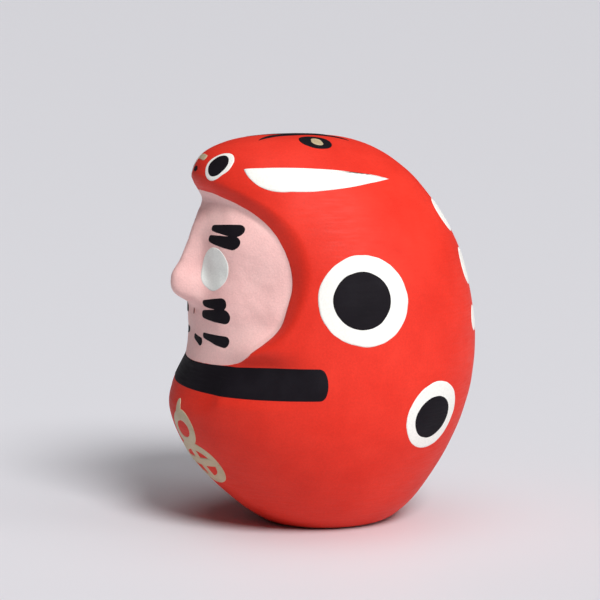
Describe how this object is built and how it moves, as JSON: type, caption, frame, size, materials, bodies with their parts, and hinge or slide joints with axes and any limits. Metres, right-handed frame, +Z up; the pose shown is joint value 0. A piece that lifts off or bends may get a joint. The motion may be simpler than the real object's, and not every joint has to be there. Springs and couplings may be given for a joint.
{
  "type": "daruma doll",
  "caption": "Rigid hooded papier-mache daruma doll with a painted cow hood, recessed face, collar band and spots, on a weighted round foot.",
  "frame": {"origin": "centre of the foot on the surface the doll stands on, midway across the body's box", "axes": "+Z up, the face looks along -Y, the doll's own left side is +X"},
  "size_m": [0.0856, 0.0889, 0.1106],
  "materials": {
    "papier_mache": "matte",
    "washi_strip": "matte",
    "fired_clay": "matte",
    "foot_card": "matte",
    "chalk_ground": "matte",
    "red_paint": "matte",
    "pink_paint": "matte",
    "black_paint": "matte",
    "white_paint": "matte",
    "gold_paint": "satin",
    "eye_grey_paint": "matte",
    "brown_paint": "matte"
  },
  "bodies": {
    "root": {"shell_front": "papier_mache", "shell_back": "papier_mache", "seam_strip": "washi_strip", "foot_weight": "fired_clay", "foot_disc": "foot_card", "gofun_ground": "chalk_ground", "red_coat": "red_paint", "face_coat": "pink_paint", "collar_band": "black_paint", "mouth_mark": "brown_paint", "muzzle_patch": "gold_paint", "muzzle_mark": "black_paint", "belly_gourd": "gold_paint", "beard_small": "black_paint", "eye_white_left": "eye_grey_paint", "eye_white_right": "eye_grey_paint", "brow_left": "black_paint", "brow_right": "black_paint", "moustache_left": "black_paint", "moustache_right": "black_paint", "beard_large_left": "black_paint", "beard_large_right": "black_paint", "hood_eye_pupil_left": "black_paint", "hood_eye_pupil_right": "black_paint", "hood_eye_ring_left": "white_paint", "hood_eye_ring_right": "white_paint", "ear_stroke_left": "white_paint", "ear_stroke_right": "white_paint", "crown_dot_left": "gold_paint", "crown_dot_right": "gold_paint", "crown_disc_left": "black_paint", "crown_disc_right": "black_paint", "crown_arch_left": "black_paint", "crown_arch_right": "black_paint", "flank_spot_disc_left": "black_paint", "flank_spot_disc_right": "black_paint", "flank_spot_ring_left": "white_paint", "flank_spot_ring_right": "white_paint", "rear_spot_disc_left": "black_paint", "rear_spot_disc_right": "black_paint", "rear_spot_ring_left": "white_paint", "rear_spot_ring_right": "white_paint", "back_dots_left": "white_paint", "back_dots_right": "white_paint"}
  },
  "joints": []
}
